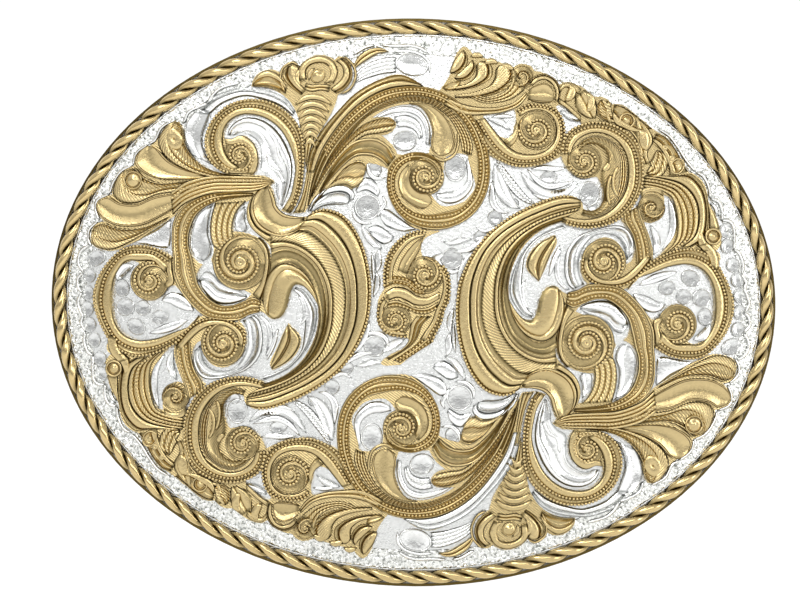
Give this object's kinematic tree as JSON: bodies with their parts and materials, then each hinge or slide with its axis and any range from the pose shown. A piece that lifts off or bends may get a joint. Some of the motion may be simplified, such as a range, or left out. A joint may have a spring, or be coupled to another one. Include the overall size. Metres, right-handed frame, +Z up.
{
  "type": "belt buckle",
  "caption": "Oval western belt buckle with a bent two-tone plate, twisted rope edge, scroll overlays, swinging bail and leaning hook.",
  "frame": {"origin": "centre of the back plate's back surface, where the belt lies", "axes": "+X to the right seen from the front, +Z up as worn, the front faces -Y and the belt lies on the +Y side"},
  "size_m": [0.1016, 0.0162, 0.0782],
  "materials": {
    "nickel_back": "brushed nickel silver, lightly worn",
    "silver_face": "bright silver plate, engraved and stippled",
    "gold_rim": "polished gold plate, darkened",
    "gold_rope": "polished gold plate, darkened in the lay of the rope",
    "gold_overlay": "gold plate over chased relief, grooves darkened",
    "nickel_fitting": "tumbled nickel silver",
    "steel_wire": "drawn wire, plated"
  },
  "bodies": {
    "buckle": {"back_plate": "nickel_back", "rim_band": "gold_rim", "face_plate": "silver_face", "rope_strand_a": "gold_rope", "rope_strand_b": "gold_rope", "hinge_tube": "nickel_fitting", "hinge_saddle_upper": "nickel_fitting", "hinge_saddle_lower": "nickel_fitting", "hook_base": "nickel_fitting", "hook_post": "nickel_fitting", "centre_scroll": "gold_overlay", "main_leaf_1": "gold_overlay", "main_leaf_2": "gold_overlay", "scroll_low_1": "gold_overlay", "scroll_low_2": "gold_overlay", "crown_scroll_1": "gold_overlay", "crown_scroll_2": "gold_overlay", "upper_scroll_1": "gold_overlay", "upper_scroll_2": "gold_overlay", "great_scroll_1": "gold_overlay", "great_scroll_2": "gold_overlay", "side_scroll_1": "gold_overlay", "side_scroll_2": "gold_overlay", "stem_1": "gold_overlay", "stem_2": "gold_overlay", "leaf_fan_1": "gold_overlay", "leaf_fan_2": "gold_overlay", "scroll_high_1": "gold_overlay", "scroll_high_2": "gold_overlay", "lesser_scroll_1": "gold_overlay", "lesser_scroll_2": "gold_overlay", "side_leaf_1": "gold_overlay", "side_leaf_2": "gold_overlay", "edge_leaves_side_1": "gold_overlay", "edge_leaves_side_2": "gold_overlay", "edge_leaves_base_1": "gold_overlay", "edge_leaves_base_2": "gold_overlay", "flower_1": "gold_overlay", "flower_2": "gold_overlay", "edge_sliver_1": "gold_overlay", "edge_sliver_2": "gold_overlay", "leaf_island_1": "gold_overlay", "leaf_island_2": "gold_overlay"},
    "bail": {"bail_loop": "steel_wire"}
  },
  "joints": [
    {"name": "bail_hinge", "type": "hinge", "parent": "buckle", "child": "bail", "pos_m": [0.022, 0.0033, 0], "axis": [0, 0, 1], "range_deg": [-29, 148]}
  ]
}
